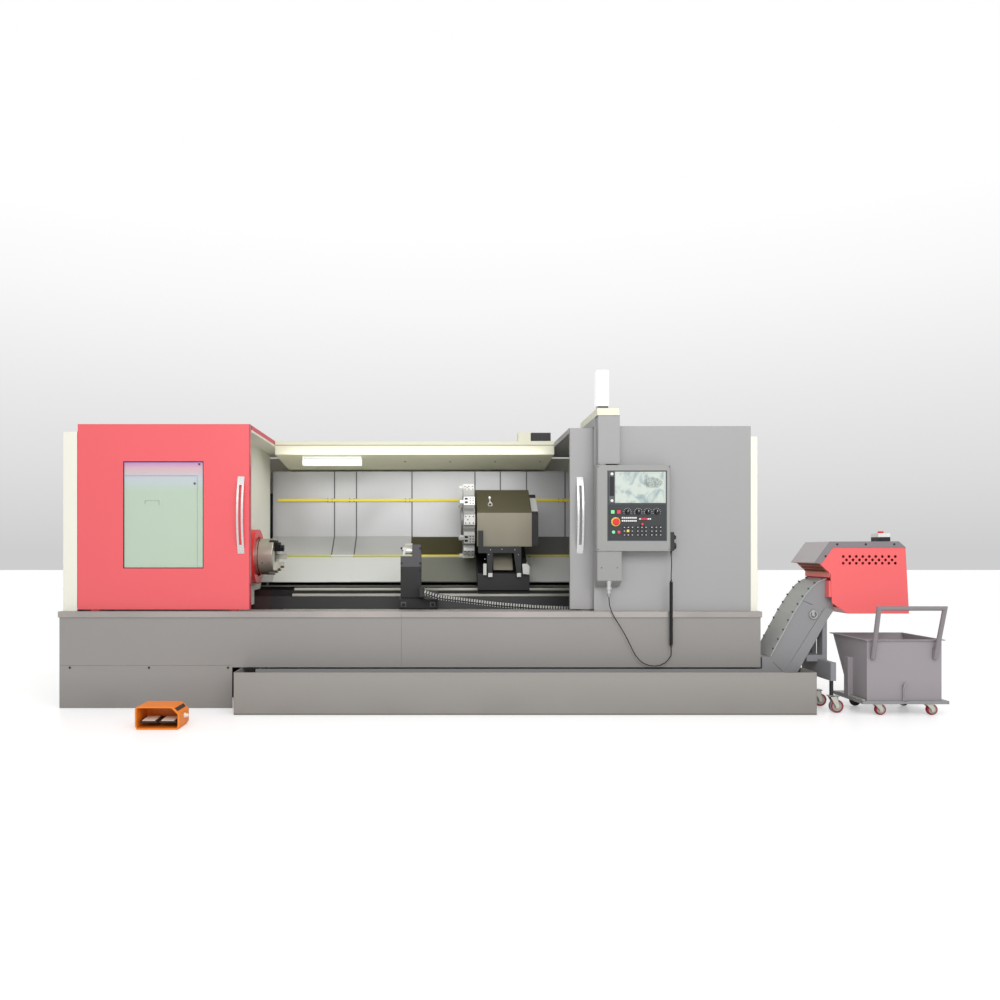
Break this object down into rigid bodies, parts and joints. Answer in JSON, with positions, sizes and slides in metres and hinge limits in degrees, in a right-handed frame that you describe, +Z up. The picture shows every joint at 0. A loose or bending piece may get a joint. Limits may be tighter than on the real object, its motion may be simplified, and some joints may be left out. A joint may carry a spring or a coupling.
{
  "type": "cnc turning lathe",
  "caption": "Long slant-bed turning lathe with sliding doors, a jaw chuck, steady rest, disc turret, swing panel, coolant tank, chip conveyor, chip cart and foot switch.",
  "frame": {"origin": "on the floor at the middle of the whole footprint", "axes": "+Z up, +X along the spindle line to the operator's right, the front faces -Y"},
  "size_m": [6.391, 2.934, 2.484],
  "materials": {
    "casing_grey": "satin",
    "stainless": "brushed",
    "tank_grey": "satin",
    "bed_black": "painted",
    "rail_steel": "ground",
    "chuck_steel": "turned",
    "guard_red": "gloss",
    "cover_steel": "brushed",
    "carriage_black": "painted",
    "housing_steel": "brushed",
    "turret_steel": "turned",
    "steady_black": "painted",
    "steady_grey": "ground",
    "chain_black": "matt",
    "cover_cream": "satin",
    "lamp_body": "satin",
    "cover_grey": "satin",
    "door_red": "gloss",
    "window_glass": "clear",
    "handle_steel": "polished",
    "panel_grey": "satin",
    "lamp_white": "frosted",
    "screen_pale": "gloss",
    "panel_keys": "matt",
    "stop_red": "gloss",
    "unit_black": "matt",
    "lead_black": "matt",
    "conveyor_grey": "satin",
    "conveyor_plate": "satin",
    "hood_red": "satin",
    "hood_grey": "satin",
    "stand_grey": "satin",
    "guard_orange": "satin",
    "pedal_black": "matt",
    "cart_grey": "satin",
    "frame_grey": "satin",
    "wheel_rubber": "matt",
    "handle_grey": "satin"
  },
  "bodies": {
    "machine": {"base_casing": "casing_grey", "front_lip": "stainless", "coolant_tank": "tank_grey", "bed_casting": "bed_black", "guide_rails": "rail_steel", "headstock_casting": "bed_black", "spindle_cover": "guard_red", "way_cover_left": "cover_steel", "way_cover_right": "cover_steel", "left_end_cover": "cover_cream", "headstock_cover": "cover_cream", "left_roof": "cover_cream", "back_beam": "cover_cream", "work_light": "lamp_body", "rear_cabinet": "cover_cream", "right_front_cover": "cover_grey", "right_end_cover": "cover_cream", "operator_column": "panel_grey", "tower_lamp": "lamp_white", "conveyor_trough": "conveyor_grey", "conveyor_cover": "conveyor_plate", "discharge_hood": "hood_red", "hood_cover": "hood_grey", "conveyor_stand": "stand_grey", "foot_guard": "guard_orange", "cart_tub": "cart_grey", "cart_frame": "frame_grey", "cart_wheels": "wheel_rubber", "cart_handle": "handle_grey"},
    "left_door": {"left_door": "door_red", "door_window": "window_glass", "left_handle": "handle_steel"},
    "right_door": {"right_door": "cover_grey", "right_handle": "handle_steel"},
    "spindle": {"spindle_shaft": "rail_steel", "chuck_body": "chuck_steel"},
    "jaw_one": {"chuck_jaw_1": "chuck_steel"},
    "jaw_two": {"chuck_jaw_2": "chuck_steel"},
    "jaw_three": {"chuck_jaw_3": "chuck_steel"},
    "carriage": {"saddle": "carriage_black"},
    "slide": {"cross_slide": "carriage_black", "turret_housing": "housing_steel"},
    "turret": {"turret_disc": "turret_steel", "tool_holders": "turret_steel"},
    "steady": {"steady_rest": "steady_black", "steady_pin": "steady_grey", "energy_chain": "chain_black"},
    "steady_arm": {"steady_arm": "steady_grey"},
    "tailstock": {"tailstock_body": "bed_black"},
    "quill": {"tailstock_quill": "rail_steel"},
    "operator_panel": {"pendant_housing": "panel_grey", "display_screen": "screen_pale", "key_panel": "panel_keys", "hand_unit": "unit_black", "hand_lead_upper": "lead_black", "hand_lead_coil": "lead_black", "hand_lead_loop": "lead_black"},
    "stop_button": {"emergency_stop": "stop_red"},
    "pedal_left": {"foot_pedal_left": "pedal_black"},
    "pedal_right": {"foot_pedal_right": "pedal_black"}
  },
  "joints": [
    {"name": "left_door_slide", "type": "slide", "parent": "machine", "child": "left_door", "axis": [1, 0, 0], "range_m": [0, 1.24]},
    {"name": "right_door_slide", "type": "slide", "parent": "machine", "child": "right_door", "axis": [1, 0, 0], "range_m": [-1.14, 0]},
    {"name": "spindle_spin", "type": "hinge", "parent": "machine", "child": "spindle", "pos_m": [-1.843, 0.048, 1.112], "axis": [1, 0, 0], "continuous": true},
    {"name": "jaw_one_slide", "type": "slide", "parent": "spindle", "child": "jaw_one", "axis": [0, -0.5, 0.866], "range_m": [-0.005, 0.005]},
    {"name": "jaw_two_slide", "type": "slide", "parent": "spindle", "child": "jaw_two", "axis": [0, -0.5, -0.866], "range_m": [-0.005, 0.005]},
    {"name": "jaw_three_slide", "type": "slide", "parent": "spindle", "child": "jaw_three", "axis": [0, 1, 0], "range_m": [-0.005, 0.005]},
    {"name": "carriage_slide", "type": "slide", "parent": "machine", "child": "carriage", "axis": [-1, 0, 0], "range_m": [-0.5, 1.2]},
    {"name": "cross_slide_travel", "type": "slide", "parent": "carriage", "child": "slide", "axis": [0, 0.7806, 0.6251], "range_m": [-0.16, 0.1]},
    {"name": "turret_index", "type": "hinge", "parent": "slide", "child": "turret", "pos_m": [-0.142, 0.43438, 1.42141], "axis": [1, 0, 0], "continuous": true},
    {"name": "steady_slide", "type": "slide", "parent": "machine", "child": "steady", "axis": [-1, 0, 0], "range_m": [-0.3, 0.8]},
    {"name": "steady_arm_swing", "type": "hinge", "parent": "steady", "child": "steady_arm", "pos_m": [-0.647, -0.096, 1.16], "axis": [1, 0, 0], "range_deg": [0, 20]},
    {"name": "tailstock_slide", "type": "slide", "parent": "machine", "child": "tailstock", "axis": [-1, 0, 0], "range_m": [-0.35, 0.4]},
    {"name": "quill_slide", "type": "slide", "parent": "tailstock", "child": "quill", "axis": [-1, 0, 0], "range_m": [0, 0.15]},
    {"name": "panel_swing", "type": "hinge", "parent": "machine", "child": "operator_panel", "pos_m": [0.8, -0.735, 1.79], "axis": [0, 0, 1], "range_deg": [-80, 0]},
    {"name": "stop_button_push", "type": "slide", "parent": "operator_panel", "child": "stop_button", "axis": [0, 1, 0], "range_m": [0, 0.006]},
    {"name": "left_pedal_rock", "type": "hinge", "parent": "machine", "child": "pedal_left", "pos_m": [-2.283, -1.317, 0.047], "axis": [1, 0, 0], "range_deg": [0, 9], "stiffness_Nm_per_rad": 30, "springref_deg": -5.73},
    {"name": "right_pedal_rock", "type": "hinge", "parent": "machine", "child": "pedal_right", "pos_m": [-2.159, -1.317, 0.047], "axis": [1, 0, 0], "range_deg": [0, 9], "stiffness_Nm_per_rad": 30, "springref_deg": -5.73}
  ],
  "couplings": [
    {"joint": "jaw_two_slide", "follows": "jaw_one_slide", "ratio": 1},
    {"joint": "jaw_three_slide", "follows": "jaw_one_slide", "ratio": 1}
  ]
}
